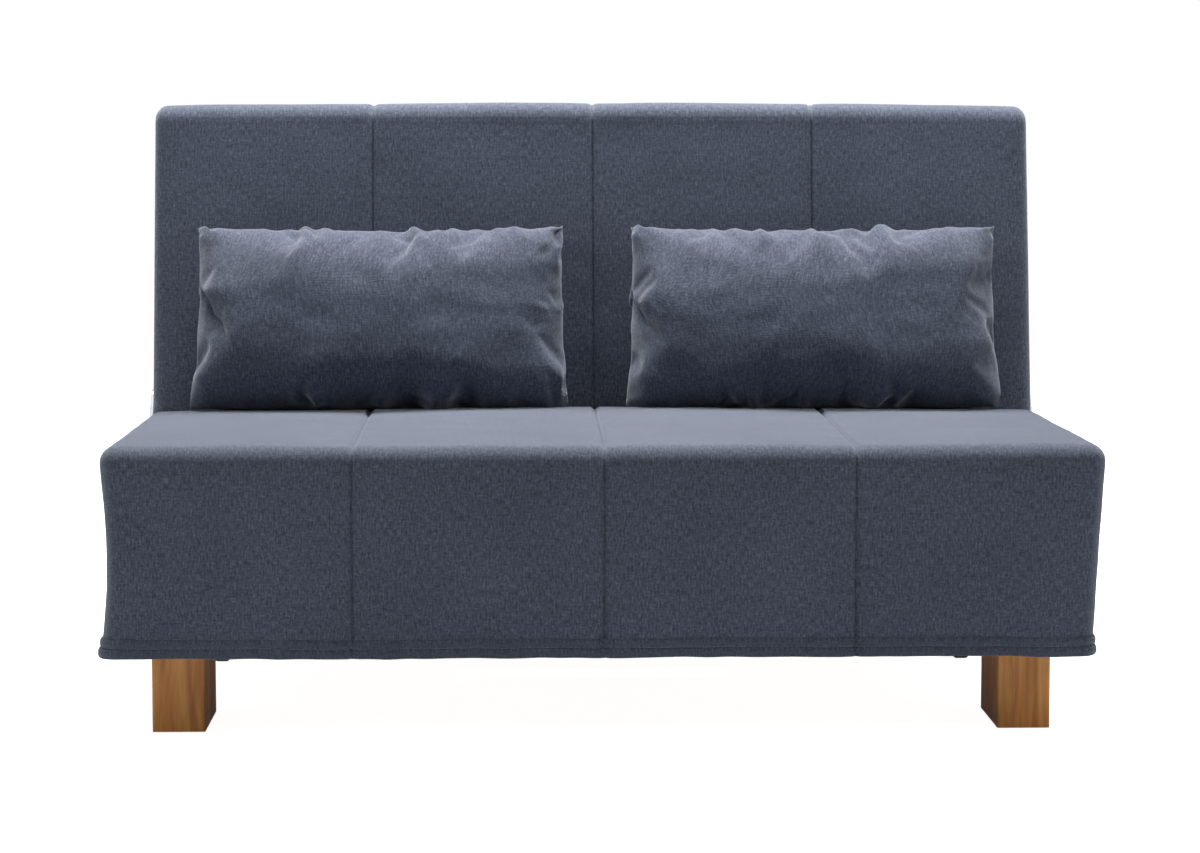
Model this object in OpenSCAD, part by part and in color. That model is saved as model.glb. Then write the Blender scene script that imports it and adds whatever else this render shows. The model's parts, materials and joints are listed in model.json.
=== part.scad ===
// Armless two-seat sofa bed with an accordion fold, in millimetres.
// X runs along the width, the front faces -Y and Z is up. The origin is on the
// floor, under the middle of the sofa. The back is two hinged sections that
// stand as an inverted V. To make the bed they open at the ridge and lie flat
// behind the seat. Both sections share one local frame: Y runs up the section
// and Z points out of its upholstered face.

/* [Sofa] */
// Width over the seat cover
sofa_w = 1400; // [1350:10:1450]
// Height of the seat surface above the floor
seat_h = 418; // [412:1:426]
// Seat depth, from the front face to the back cushion
seat_d = 620; // [615:1:640]
// Length of the back cushion above the seat surface
back_len = 488; // [480:1:500]
// Lean of the back from upright, in degrees
back_lean = 10; // [9:1:12]
// Height of the cover's lower edge above the floor
hem_h = 124; // [118:1:140]

/* [Cushions] */
// Thickness of a cushion with its cover
cushion_t = 100; // [96:1:104]
// Thickness of the quilted cover
cover_t = 3; // [2:0.5:4]
// Foam in front of the seat's front board
front_pad_t = 30; // [20:1:35]
// Radius of the seat's front edge
front_edge_r = 28; // [20:1:32]
// Radius of a section's lower edge, which sweeps past the seat
low_edge_r = 40; // [38:1:42]
// Radius of a section's upper edge
top_edge_r = 30; // [20:1:36]

/* [Wooden frame] */
// Thickness of the boards
board_t = 22; // [18:1:24]
// Room between the hanging skirt and the side boards
skirt_room = 19; // [17:1:22]
// Width of a slat
slat_w = 54; // [48:1:56]
// Thickness of a slat
slat_t = 7; // [6:0.5:8]
// Distance from slat to slat
slat_pitch = 74; // [70:1:75]
// Width of a front leg
leg_w = 75; // [65:1:80]
// Depth of a front leg
leg_d = 160; // [120:1:170]

/* [Steel frame] */
// Depth of the frame tube
tube_h = 35; // [33:1:37]
// Width of the frame tube
tube_w = 25; // [22:1:28]
// Wall of the frame tube
tube_wall = 1.5; // [1:0.5:2]
// Distance of a lower hinge pin from the cushion's face and end
pivot_in = 75; // [74:1:77]
// Gap between the seat and the first section when flat
flat_gap = 20; // [18:1:24]
// Distance from a section's upper end to the ridge pin
ridge_gap = 10; // [9:1:12]
// Thickness of a hinge plate
plate_t = 5; // [4:0.5:5]
// Radius of a hinge pin
pin_r = 6; // [5:0.5:7]

/* [Pillows] */
// Width of a pillow
pillow_w = 600; // [560:10:620]
// Height of a pillow
pillow_h = 283; // [270:1:290]
// Bulge of a pillow's front
pillow_belly = 75; // [65:1:80]
// Bulge of a pillow's rear
pillow_rear = 35; // [30:1:38]
// Place of the left pillow's middle across the width
pillow_left_x = -335; // [-340:1:-325]
// Place of the right pillow's middle across the width
pillow_right_x = 346; // [325:1:350]

/* [Hidden] */
$fn = 72;

// Clearance of a pin in its hole, of a screw in its hole, and between faces
run_gap = 0.05;
screw_gap = 0.1;
face_gap = 0.1;

// The fold: the angle between the seat and the standing back
fold = 90 - back_lean;
half_w = sofa_w / 2;
cover_in_x = half_w - cover_t;
board_x = cover_in_x - skirt_room;
section_x = half_w - 2;
section_t = cushion_t + tube_h;
pivot_off = pivot_in * tan(fold / 2);
low_end = -pivot_off - pivot_in;
seat_end = seat_d + pivot_off - pivot_in - flat_gap;
ridge_along = back_len + ridge_gap;

// Distances behind the front face, then places in the sofa's own frame
ridge_s = seat_d + ridge_along * cos(fold) + section_t * sin(fold);
corner_s = seat_d + (low_end + low_edge_r) * cos(fold)
  + low_edge_r * sin(fold) - low_edge_r;
front_y = corner_s / 2 - ridge_s;
junction_y = front_y + seat_d;
pivot_y = junction_y + pivot_off;
pivot_z = seat_h - pivot_in;
ridge_y = front_y + ridge_s;
stand_y = 2 * ridge_y - pivot_y;

// Seat boards
board_low = 155;
board_top = seat_h - cushion_t;
pad_y = front_y + cover_t;
front_board_y = pad_y + front_pad_t;
side_board_y = front_board_y + board_t;
seat_rear_y = front_y + seat_end - cover_t;
bearer_low = 110;
bearer_top = 238;
bearer_y = front_y + 735;
side_in_x = board_x - board_t;
beam_x = tube_w / 2;
hem_r = 4;

// Front legs
leg_x = 565;
leg_y = front_y + 97;
leg_plate_t = 5;
glide_t = 3;
glide_r = 20;

// Castors
castor_x = 600;
castor_y = front_y + 710;
wheel_r = 40;
wheel_w = 24;
axle_r = 5;
fork_t = 3;
fork_in = wheel_w / 2 + 2.5;

// Hinge plates: the seat's and the stand's are inside, the sections' outside
plate_half = 28;
plate_low = 140;
plate_x = half_w;
arm_x = plate_x + plate_t + 2;
screw_r = 4;
screw_heights = [165, 215];
arm_from = [-pivot_off, -pivot_in];
arm_to = [25, -cushion_t - tube_h / 2];

// Steel frame of a section
rail_out = 670;
rail_in = rail_out - tube_w;
rail_top = back_len - 12;
slat_rows = 7;
cap_h = 12;
cap_l = 30;
eye_r = 10;
eye_t = 4;

// Swing leg, which holds up the ridge of the bed
swing_along = back_len - 64;
swing_depth = 120;
swing_bar = 20;
swing_y = junction_y + swing_along * cos(fold) + swing_depth * sin(fold);
swing_z = seat_h + swing_along * sin(fold) - swing_depth * cos(fold);
swing_len = seat_h - swing_depth;
swing_x = rail_in - swing_bar - 6;

// Rear stand
stand_low = 150;
stand_top = 235;
stand_half = 26;
stand_leg_x = 555;
stand_leg_w = 60;

// Pillows, in the front section's frame
pillow_low = -4;
pillow_mid = pillow_rear + 5;
pillow_skin = 2;
fill_inset = 2.5;
zip_l = 400;

// Block between two opposite corners
module block(a, b) {
  translate(a) cube(b - a);
}

// Rectangle between two opposite corners, given in any order
module rect(a, b) {
  translate([min(a.x, b.x), min(a.y, b.y)])
    square([abs(b.x - a.x), abs(b.y - a.y)]);
}

// What is cut off to round the corner p; d points from p into the outline
module sharp_corner(p, d, r) {
  difference() {
    rect(p - d, p + r * d);
    translate(p + r * d) circle(r);
  }
}

// The shape and its mirror image on the other side of the sofa
module both_sides() {
  children();
  mirror([1, 0, 0]) children();
}

// Solid of an outline in Y and Z, from x0 to x1
module from_x(x0, x1) {
  translate([x0, 0, 0]) rotate([90, 0, 90]) linear_extrude(x1 - x0) children();
}

// Cylinder along X from x0 to x1, at a place in Y and Z
module rod_x(x0, x1, r, at) {
  translate([x0, at.x, at.y]) rotate([0, 90, 0]) cylinder(h = x1 - x0, r = r);
}

// Rectangular tube between two corners, open at its ends along one axis
module tube(a, b, along) {
  inset = [for (i = [0:2]) i == along ? -1 : tube_wall];
  difference() {
    block(a, b);
    block(a + inset, b - inset);
  }
}

// Places a shape drawn in a section's frame on the front section
module on_front() {
  translate([0, junction_y, seat_h]) rotate([fold, 0, 0]) children();
}

// Places it on the rear section, which mirrors the front one at the ridge
module on_rear() {
  translate([0, 2 * ridge_y, 0]) mirror([0, 1, 0]) on_front() children();
}

// One slat, from the centre beam to the rail at x_out
module slat(at, x_out) {
  top = -cushion_t - (cap_h - slat_t) / 2;
  block([beam_x + 6, at - slat_w / 2, top - slat_t],
    [x_out - 6, at + slat_w / 2, top]);
}

// Rows of slats on both sides of the centre beam, the first row at first
module slats(first, x_out) {
  color("burlywood")
    both_sides()
      for (row = [0:slat_rows - 1]) slat(first + row * slat_pitch, x_out);
}

// Plastic caps that hold the slats' ends
module slat_caps(first, x_out) {
  color("dimgray")
    both_sides()
      for (row = [0:slat_rows - 1], x = [beam_x, x_out - cap_l]) {
        at = first + row * slat_pitch;
        difference() {
          block([x, at - slat_w / 2 - 4, -cushion_t - cap_h],
            [x + cap_l, at + slat_w / 2 + 4, -cushion_t]);
          slat(at, x_out);
        }
      }
}

// --- Seat unit ---

module seat_front_board() {
  color("tan")
    block([-board_x, front_board_y, board_low],
      [board_x, side_board_y, board_top]);
}

// Side board, with the low bearer that reaches back under the hinge
module seat_side_board() {
  color("tan")
    difference() {
      from_x(side_in_x, board_x)
        polygon([[side_board_y, board_low], [side_board_y, board_top],
          [seat_rear_y, board_top], [seat_rear_y, bearer_top],
          [bearer_y, bearer_top], [bearer_y, bearer_low],
          [seat_rear_y, bearer_low], [seat_rear_y, board_low]]);
      for (z = screw_heights)
        rod_x(side_in_x - 1, board_x + 1, screw_r + screw_gap, [pivot_y, z]);
    }
}

module seat_side_board_right() { seat_side_board(); }

module seat_side_board_left() { mirror([1, 0, 0]) seat_side_board(); }

module seat_rear_board() {
  color("tan")
    block([-side_in_x, seat_rear_y - board_t, bearer_top],
      [side_in_x, seat_rear_y - face_gap, board_top]);
}

module seat_centre_beam() {
  color("tan")
    block([-beam_x, side_board_y, board_top - 60],
      [beam_x, seat_rear_y - board_t, board_top]);
}

// Where the seat's first slat lies in Y, measured from the front face
seat_slat_first = side_board_y - front_y + slat_w / 2 + 4;

module on_seat() {
  translate([0, front_y, seat_h]) children();
}

module seat_slats() { on_seat() slats(seat_slat_first, side_in_x); }

module seat_slat_caps() { on_seat() slat_caps(seat_slat_first, side_in_x); }

// Side outline of the seat, inset from the cover's outside
module seat_outline(inset, low) {
  a = [front_y + inset, low];
  b = [front_y + seat_end - inset, seat_h - inset];
  difference() {
    rect(a, b);
    sharp_corner([a.x, b.y], [1, -1], front_edge_r - inset);
    sharp_corner(b, [-1, -1], 20 - inset);
  }
}

module seat_foam() {
  color("khaki")
    from_x(-cover_in_x, cover_in_x) seat_outline(cover_t, board_top);
}

module seat_front_pad() {
  color("khaki")
    block([-cover_in_x, pad_y, board_low],
      [cover_in_x, front_board_y, board_top]);
}

// Cover over the top, the front and both sides, with a short flap behind
module seat_cover() {
  flap_low = board_top - 20;
  color("slategray")
    difference() {
      from_x(-half_w, half_w) seat_outline(0, hem_h + 2 * hem_r);
      from_x(-cover_in_x, cover_in_x) seat_outline(cover_t, hem_h);
      block([-cover_in_x, seat_rear_y - 1, hem_h],
        [cover_in_x, front_y + seat_end + 1, flap_low]);
    }
}

// Corded hem along the cover's lower edge: the front and both sides
module seat_hem() {
  z = hem_h + hem_r;
  color("darkslategray") {
    rod_x(-half_w + 2 * hem_r, half_w - 2 * hem_r, hem_r, [front_y + hem_r, z]);
    both_sides()
      translate([half_w - hem_r, front_y, z]) rotate([-90, 0, 0])
        cylinder(h = seat_end - cover_t - 1, r = hem_r);
  }
}

// Front leg: a solid block with eased edges, drilled for its bolts
module front_leg() {
  color("sienna")
    difference() {
      translate([0, 0, glide_t])
        linear_extrude(board_low - leg_plate_t - glide_t)
          difference() {
            rect([leg_x, leg_y], [leg_x + leg_w, leg_y + leg_d]);
            for (i = [0, 1], j = [0, 1])
              sharp_corner([leg_x + i * leg_w, leg_y + j * leg_d],
                [1 - 2 * i, 1 - 2 * j], 3);
          }
      for (y = leg_bolt_places)
        translate([leg_x + leg_w / 2, y, 99])
          cylinder(h = 60, r = screw_r + screw_gap);
    }
}

leg_bolt_places = [leg_y + 35, leg_y + leg_d - 35];

module front_leg_right() { front_leg(); }

module front_leg_left() { mirror([1, 0, 0]) front_leg(); }

// Steel plates that tie each front leg to the front and side boards
module leg_plates() {
  color("silver")
    both_sides()
      difference() {
        block([leg_x - 10, front_board_y, board_low - leg_plate_t],
          [board_x, leg_y + leg_d + 10, board_low]);
        for (y = leg_bolt_places)
          translate([leg_x + leg_w / 2, y, board_low - leg_plate_t - 1])
            cylinder(h = leg_plate_t + 2, r = screw_r + screw_gap);
      }
}

module leg_bolts() {
  color("silver")
    both_sides()
      for (y = leg_bolt_places)
        translate([leg_x + leg_w / 2, y, 0]) {
          translate([0, 0, 100]) cylinder(h = board_low - 100, r = screw_r);
          translate([0, 0, board_low]) cylinder(h = 5, r = 7, $fn = 6);
        }
}

module leg_glides() {
  color("gray")
    both_sides()
      for (y = leg_bolt_places)
        translate([leg_x + leg_w / 2, y, 0]) cylinder(h = glide_t, r = glide_r);
}

module rear_crossbeam() {
  color("tan")
    block([-side_in_x, castor_y - 20, bearer_low],
      [side_in_x, castor_y + 20, bearer_low + 60]);
}

// --- Castors ---

// Fixed forks under the crossbeam
module castor_forks() {
  plate_low_z = bearer_low - 4;
  color("silver")
    both_sides()
      difference() {
        union() {
          block([castor_x - 30, castor_y - 30, plate_low_z],
            [castor_x + 30, castor_y + 24, bearer_low]);
          for (x = [castor_x - fork_in - fork_t, castor_x + fork_in])
            block([x, castor_y - 18, wheel_r - 14],
              [x + fork_t, castor_y + 18, plate_low_z]);
        }
        rod_x(castor_x - 25, castor_x + 25, axle_r + run_gap,
          [castor_y, wheel_r]);
      }
}

module castor_axles() {
  end = fork_in + fork_t;
  color("silver")
    both_sides() {
      rod_x(castor_x - end, castor_x + end, axle_r, [castor_y, wheel_r]);
      for (x = [castor_x - end - 3, castor_x + end])
        rod_x(x, x + 3, 8, [castor_y, wheel_r]);
    }
}

// Wheel with a rounded tread and dished sides
module castor_wheel() {
  half = wheel_w / 2;
  color("dimgray")
    translate([castor_x, castor_y, wheel_r]) rotate([0, 90, 0])
      rotate_extrude()
        difference() {
          rect([axle_r + run_gap, -half], [wheel_r, half]);
          sharp_corner([wheel_r, half], [-1, -1], 5);
          sharp_corner([wheel_r, -half], [-1, 1], 5);
          rect([12, half - 4], [30, half + 1]);
          rect([12, -half + 4], [30, -half - 1]);
        }
}

module castor_wheel_right() { castor_wheel(); }

module castor_wheel_left() { mirror([1, 0, 0]) castor_wheel(); }

// --- Lower hinges, at the seat and again at the rear stand ---

// Upright plate with a round head at the hinge pin
module hinge_post(y) {
  color("silver")
    both_sides()
      difference() {
        from_x(plate_x, plate_x + plate_t) {
          rect([y - plate_half, plate_low], [y + plate_half, pivot_z]);
          translate([y, pivot_z]) circle(plate_half);
        }
        rod_x(plate_x - 1, arm_x, pin_r + run_gap, [y, pivot_z]);
        for (z = screw_heights)
          rod_x(plate_x - 1, arm_x, screw_r + screw_gap, [y, z]);
      }
}

// Shoulder pin: shank, collar between the plates, and head outside
module hinge_pin(y) {
  color("silver")
    both_sides() {
      rod_x(plate_x, arm_x + plate_t + face_gap, pin_r, [y, pivot_z]);
      rod_x(plate_x + plate_t, arm_x - face_gap, pin_r + 5, [y, pivot_z]);
      rod_x(arm_x + plate_t + face_gap, arm_x + plate_t + 5, pin_r + 5,
        [y, pivot_z]);
    }
}

// Screws, and the sleeves that hold the plate off the board
module hinge_screws(y) {
  color("silver")
    both_sides()
      for (z = screw_heights) {
        rod_x(side_in_x + 1, plate_x + plate_t, screw_r, [y, z]);
        rod_x(plate_x + plate_t, plate_x + plate_t + 5, 7.5, [y, z], $fn = 6);
        difference() {
          rod_x(board_x, plate_x, 12, [y, z]);
          rod_x(board_x - 1, plate_x + 1, screw_r + screw_gap, [y, z]);
        }
      }
}

module seat_hinge_plates() { hinge_post(pivot_y); }

module seat_hinge_pins() { hinge_pin(pivot_y); }

module seat_hinge_screws() { hinge_screws(pivot_y); }

// --- Sections: each part is drawn once, in a section's frame ---

module section_rail() {
  color("dimgray")
    tube([rail_in, low_end, -section_t], [rail_out, rail_top, -cushion_t], 1);
}

module section_top_rail() {
  color("dimgray")
    tube([-rail_in, rail_top - tube_w, -section_t],
      [rail_in, rail_top, -cushion_t], 0);
}

module section_bottom_rail() {
  color("dimgray")
    tube([-rail_in, low_end, -section_t],
      [rail_in, low_end + tube_w, -cushion_t], 0);
}

module section_centre_beam() {
  color("dimgray")
    tube([-beam_x, low_end + tube_w, -section_t],
      [beam_x, rail_top - tube_w, -cushion_t], 1);
}

section_slat_first = low_end + tube_w + slat_w / 2 + 4;

module section_outline(inset, low) {
  a = [low_end + inset, low];
  b = [back_len - inset, -inset];
  difference() {
    rect(a, b);
    sharp_corner([a.x, b.y], [1, -1], low_edge_r - inset);
    sharp_corner(b, [-1, -1], top_edge_r - inset);
  }
}

module section_foam() {
  x = section_x - cover_t;
  color("khaki") from_x(-x, x) section_outline(cover_t, -cushion_t);
}

// Cover over a section's face and all four edges, open at the frame side
module section_cover() {
  x = section_x - cover_t;
  color("slategray")
    difference() {
      from_x(-section_x, section_x) section_outline(0, -cushion_t);
      from_x(-x, x) section_outline(cover_t, -cushion_t - 1);
    }
}

// Arm from the lower hinge pin to a boss on the side rail
module section_hinge_plates() {
  reach = arm_to - arm_from;
  half = tube_h / 2 - 0.5;
  color("silver")
    both_sides()
      difference() {
        union() {
          from_x(arm_x, arm_x + plate_t) {
            translate(arm_from) circle(20);
            translate(arm_to) circle(half);
            translate(arm_from) rotate(atan2(reach.y, reach.x))
              rect([0, -half], [norm(reach), half]);
          }
          from_x(rail_out, arm_x)
            rect(arm_to - [half, half], arm_to + [half, half]);
        }
        rod_x(arm_x - 1, arm_x + plate_t + 1, pin_r + run_gap, arm_from);
      }
}

// Eye plate at the ridge; the rear section's stands further out, on a spacer
module ridge_plates(x) {
  ridge = [ridge_along, -section_t];
  neck = rail_top - 17;
  color("silver")
    both_sides()
      difference() {
        union() {
          from_x(x, x + eye_t) {
            rect([neck - 40, -section_t + 1], [rail_top - 2, -cushion_t - 4]);
            rect([neck, -section_t - eye_r], [ridge.x, -section_t + eye_r]);
            translate(ridge) circle(eye_r);
          }
          if (x > rail_out)
            from_x(rail_out, x)
              rect([neck - 40, -section_t + 1], [neck - 5, -cushion_t - 4]);
        }
        rod_x(x - 1, x + eye_t + 1, pin_r + run_gap, ridge);
      }
}

ridge_outer_x = rail_out + eye_t + 1;

module front_section_rail_right() { on_front() section_rail(); }

module front_section_rail_left() { mirror([1, 0, 0]) front_section_rail_right(); }

module front_section_top_rail() { on_front() section_top_rail(); }

module front_section_bottom_rail() { on_front() section_bottom_rail(); }

module front_section_centre_beam() { on_front() section_centre_beam(); }

module front_section_slats() { on_front() slats(section_slat_first, rail_in); }

module front_section_slat_caps() {
  on_front() slat_caps(section_slat_first, rail_in);
}

module front_section_foam() { on_front() section_foam(); }

module front_section_cover() { on_front() section_cover(); }

module front_section_hinge_plates() { on_front() section_hinge_plates(); }

module front_section_ridge_plates() { on_front() ridge_plates(rail_out); }

// Ridge pins: shank through both eye plates, collar between them, head outside
module ridge_pins() {
  at = [ridge_along, -section_t];
  end = ridge_outer_x + eye_t;
  color("silver")
    on_front()
      both_sides() {
        rod_x(rail_out, end + face_gap, pin_r, at);
        rod_x(rail_out + eye_t, ridge_outer_x - face_gap, pin_r + 4, at);
        rod_x(end + face_gap, end + 4, pin_r + 4, at);
      }
}

// Shoulder bolts on the side rails that carry the swing leg
module swing_leg_bolts() {
  at = [swing_y, swing_z];
  color("silver")
    both_sides() {
      rod_x(swing_x - face_gap, rail_in, axle_r, at);
      rod_x(swing_x + swing_bar + face_gap, rail_in, axle_r + 4, at);
      rod_x(swing_x - 4, swing_x - face_gap, axle_r + 4, at);
    }
}

module rear_section_rail_right() { on_rear() section_rail(); }

module rear_section_rail_left() { mirror([1, 0, 0]) rear_section_rail_right(); }

module rear_section_top_rail() { on_rear() section_top_rail(); }

module rear_section_bottom_rail() { on_rear() section_bottom_rail(); }

module rear_section_centre_beam() { on_rear() section_centre_beam(); }

module rear_section_slats() { on_rear() slats(section_slat_first, rail_in); }

module rear_section_slat_caps() {
  on_rear() slat_caps(section_slat_first, rail_in);
}

module rear_section_foam() { on_rear() section_foam(); }

module rear_section_cover() { on_rear() section_cover(); }

module rear_section_hinge_plates() { on_rear() section_hinge_plates(); }

module rear_section_ridge_plates() { on_rear() ridge_plates(ridge_outer_x); }

// --- Swing leg: it hangs between the sections and stands under the bed ---

// Square tubes with a round head at the bolt
module swing_leg_uprights() {
  half = swing_bar / 2;
  low = swing_z - swing_len + swing_bar;
  color("dimgray")
    both_sides()
      difference() {
        from_x(swing_x, swing_x + swing_bar) {
          rect([swing_y - half, low], [swing_y + half, swing_z]);
          translate([swing_y, swing_z]) circle(half);
        }
        block([swing_x + tube_wall, swing_y - half + tube_wall, low - 1],
          [swing_x + swing_bar - tube_wall, swing_y + half - tube_wall,
            swing_z - half]);
        rod_x(swing_x - 1, swing_x + swing_bar + 1, axle_r + run_gap,
          [swing_y, swing_z]);
      }
}

module swing_leg_bar() {
  half = swing_bar / 2;
  low = swing_z - swing_len;
  color("dimgray")
    tube([-swing_x - swing_bar, swing_y - half, low],
      [swing_x + swing_bar, swing_y + half, low + swing_bar], 0);
}

// --- Rear stand ---

module stand_beam() {
  color("tan")
    difference() {
      block([-board_x, stand_y - stand_half, stand_low],
        [board_x, stand_y + stand_half, stand_top]);
      both_sides()
        for (z = screw_heights)
          rod_x(side_in_x, board_x + 1, screw_r + screw_gap, [stand_y, z]);
    }
}

module stand_legs() {
  color("sienna")
    both_sides()
      translate([0, 0, glide_t]) linear_extrude(stand_low - glide_t)
        difference() {
          rect([stand_leg_x, stand_y - stand_half],
            [stand_leg_x + stand_leg_w, stand_y + stand_half]);
          for (i = [0, 1], j = [-1, 1])
            sharp_corner([stand_leg_x + i * stand_leg_w,
              stand_y + j * stand_half], [1 - 2 * i, -j], 3);
        }
}

module stand_glides() {
  color("gray")
    both_sides()
      translate([stand_leg_x + stand_leg_w / 2, stand_y, 0])
        cylinder(h = glide_t, r = glide_r);
}

module stand_plates() { hinge_post(stand_y); }

module stand_pins() { hinge_pin(stand_y); }

module stand_screws() { hinge_screws(stand_y); }

// --- Pillows ---

// Lens between two arcs: chord along X, one bulge up and the other down
module lens(half_chord, up, down) {
  up_r = (half_chord * half_chord + up * up) / (2 * up);
  down_r = (half_chord * half_chord + down * down) / (2 * down);
  intersection() {
    translate([0, up - up_r]) circle(up_r, $fn = 180);
    translate([0, down_r - down]) circle(down_r, $fn = 180);
  }
}

// Knife-edged pillow at x; an inset gives its inside or its filling
module pillow(x, inset) {
  up = pillow_belly - inset;
  down = pillow_rear - inset;
  tall = pillow_h / 2 - 3 * inset;
  wide = pillow_w / 2 - 5 * inset;
  on_front()
    translate([x, pillow_low + pillow_h / 2, pillow_mid])
      intersection() {
        from_x(-wide, wide) lens(tall, up, down);
        translate([0, tall, 0]) rotate([90, 0, 0])
          linear_extrude(2 * tall) lens(wide, up, down);
      }
}

// Cover of a pillow, open along the zip in its lower seam
module pillow_cover(x) {
  color("slategray")
    difference() {
      pillow(x, 0);
      pillow(x, pillow_skin);
      on_front()
        block([x - zip_l / 2, pillow_low - 1, pillow_mid - 20],
          [x + zip_l / 2, pillow_low + 4 * pillow_skin, pillow_mid + 20]);
    }
}

module pillow_cover_left() { pillow_cover(pillow_left_x); }

module pillow_fill_left() { color("white") pillow(pillow_left_x, fill_inset); }

module pillow_cover_right() { pillow_cover(pillow_right_x); }

module pillow_fill_right() { color("white") pillow(pillow_right_x, fill_inset); }

seat_front_board();
seat_side_board_left();
seat_side_board_right();
seat_rear_board();
seat_centre_beam();
seat_slats();
seat_slat_caps();
seat_foam();
seat_front_pad();
seat_cover();
seat_hem();
front_leg_left();
front_leg_right();
leg_plates();
leg_bolts();
leg_glides();
rear_crossbeam();
castor_forks();
castor_axles();
castor_wheel_left();
castor_wheel_right();
seat_hinge_plates();
seat_hinge_pins();
seat_hinge_screws();
front_section_rail_left();
front_section_rail_right();
front_section_top_rail();
front_section_bottom_rail();
front_section_centre_beam();
front_section_slats();
front_section_slat_caps();
front_section_foam();
front_section_cover();
front_section_hinge_plates();
front_section_ridge_plates();
ridge_pins();
swing_leg_bolts();
rear_section_rail_left();
rear_section_rail_right();
rear_section_top_rail();
rear_section_bottom_rail();
rear_section_centre_beam();
rear_section_slats();
rear_section_slat_caps();
rear_section_foam();
rear_section_cover();
rear_section_hinge_plates();
rear_section_ridge_plates();
swing_leg_uprights();
swing_leg_bar();
stand_beam();
stand_legs();
stand_glides();
stand_plates();
stand_pins();
stand_screws();
pillow_cover_left();
pillow_fill_left();
pillow_cover_right();
pillow_fill_right();
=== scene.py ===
"""Looks of the two-seat sofa bed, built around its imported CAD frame."""

import json
import math

import bmesh
import bpy
import numpy as np
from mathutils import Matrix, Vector, noise


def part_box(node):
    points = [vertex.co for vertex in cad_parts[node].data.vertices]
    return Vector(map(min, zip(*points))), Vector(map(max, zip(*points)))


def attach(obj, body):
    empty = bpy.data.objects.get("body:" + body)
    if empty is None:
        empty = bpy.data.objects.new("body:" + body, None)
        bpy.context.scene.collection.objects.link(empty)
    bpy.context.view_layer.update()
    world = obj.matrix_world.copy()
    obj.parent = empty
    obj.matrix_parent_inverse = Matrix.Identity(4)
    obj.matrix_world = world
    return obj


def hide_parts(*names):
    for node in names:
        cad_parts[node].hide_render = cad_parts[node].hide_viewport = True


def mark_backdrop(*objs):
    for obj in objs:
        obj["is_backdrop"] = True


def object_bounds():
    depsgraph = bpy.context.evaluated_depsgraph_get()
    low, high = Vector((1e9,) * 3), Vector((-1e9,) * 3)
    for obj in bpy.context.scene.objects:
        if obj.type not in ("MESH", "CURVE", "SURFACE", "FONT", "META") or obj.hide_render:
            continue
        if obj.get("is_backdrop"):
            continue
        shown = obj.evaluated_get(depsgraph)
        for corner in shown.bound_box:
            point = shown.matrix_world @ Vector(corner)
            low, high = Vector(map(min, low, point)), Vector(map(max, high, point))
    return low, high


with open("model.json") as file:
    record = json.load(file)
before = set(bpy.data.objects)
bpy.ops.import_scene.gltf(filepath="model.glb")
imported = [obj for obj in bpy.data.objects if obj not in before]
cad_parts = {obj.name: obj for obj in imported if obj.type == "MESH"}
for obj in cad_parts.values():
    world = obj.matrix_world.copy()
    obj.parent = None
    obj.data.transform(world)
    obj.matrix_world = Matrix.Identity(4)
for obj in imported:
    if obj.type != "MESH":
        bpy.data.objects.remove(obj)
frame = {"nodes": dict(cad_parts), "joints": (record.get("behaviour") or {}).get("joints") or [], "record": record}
cad_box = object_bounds()

# ---------------------------------------------------------------- places
JOINTS = {j["name"]: j for j in frame["joints"]}
SEAT_LO, SEAT_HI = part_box("seat_cover")
HEM_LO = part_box("seat_hem")[0]
SECTION_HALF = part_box("front_section_cover")[1].x
SEAT_H = SEAT_HI.z
HALF_W = SEAT_HI.x
FOLD = math.radians(JOINTS["back_fold"]["range_deg"][1])
PIVOT = Vector(JOINTS["back_fold"]["pos_m"])
RIDGE = Vector(JOINTS["ridge_fold"]["pos_m"])
PIVOT_IN = SEAT_H - PIVOT.z
PIVOT_OFF = PIVOT_IN * math.tan(FOLD / 2)
JUNCTION_Y = PIVOT.y - PIVOT_OFF
RIDGE_GAP = 0.010
CUSHION_T = 0.100
LOW_END = -PIVOT_OFF - PIVOT_IN
SEAMS = (-HALF_W / 2, 0.0, HALF_W / 2)
SEAM_DEPTH = 0.0052
SEAM_WIDTH = 0.0036
PUCKER_REACH = 0.03  # how far from a seam the cloth puckers


def section_along(point):
    """How far up the front section a point lies, and how far out of its face."""
    dy, dz = point.y - JUNCTION_Y, point.z - SEAT_H
    along = dy * math.cos(FOLD) + dz * math.sin(FOLD)
    out = -dy * math.sin(FOLD) + dz * math.cos(FOLD)
    return along, out


BACK_LEN = section_along(RIDGE)[0] - RIDGE_GAP


def on_front(co):
    """Points from a section's frame (x, along, out) to the front section's place."""
    co = np.asarray(co, float)
    y = JUNCTION_Y + co[:, 1] * math.cos(FOLD) - co[:, 2] * math.sin(FOLD)
    z = SEAT_H + co[:, 1] * math.sin(FOLD) + co[:, 2] * math.cos(FOLD)
    return np.stack([co[:, 0], y, z], 1)


def on_rear(co):
    """The same, mirrored at the ridge, for the rear section."""
    placed = on_front(co)
    placed[:, 1] = 2 * RIDGE.y - placed[:, 1]
    return placed


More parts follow.
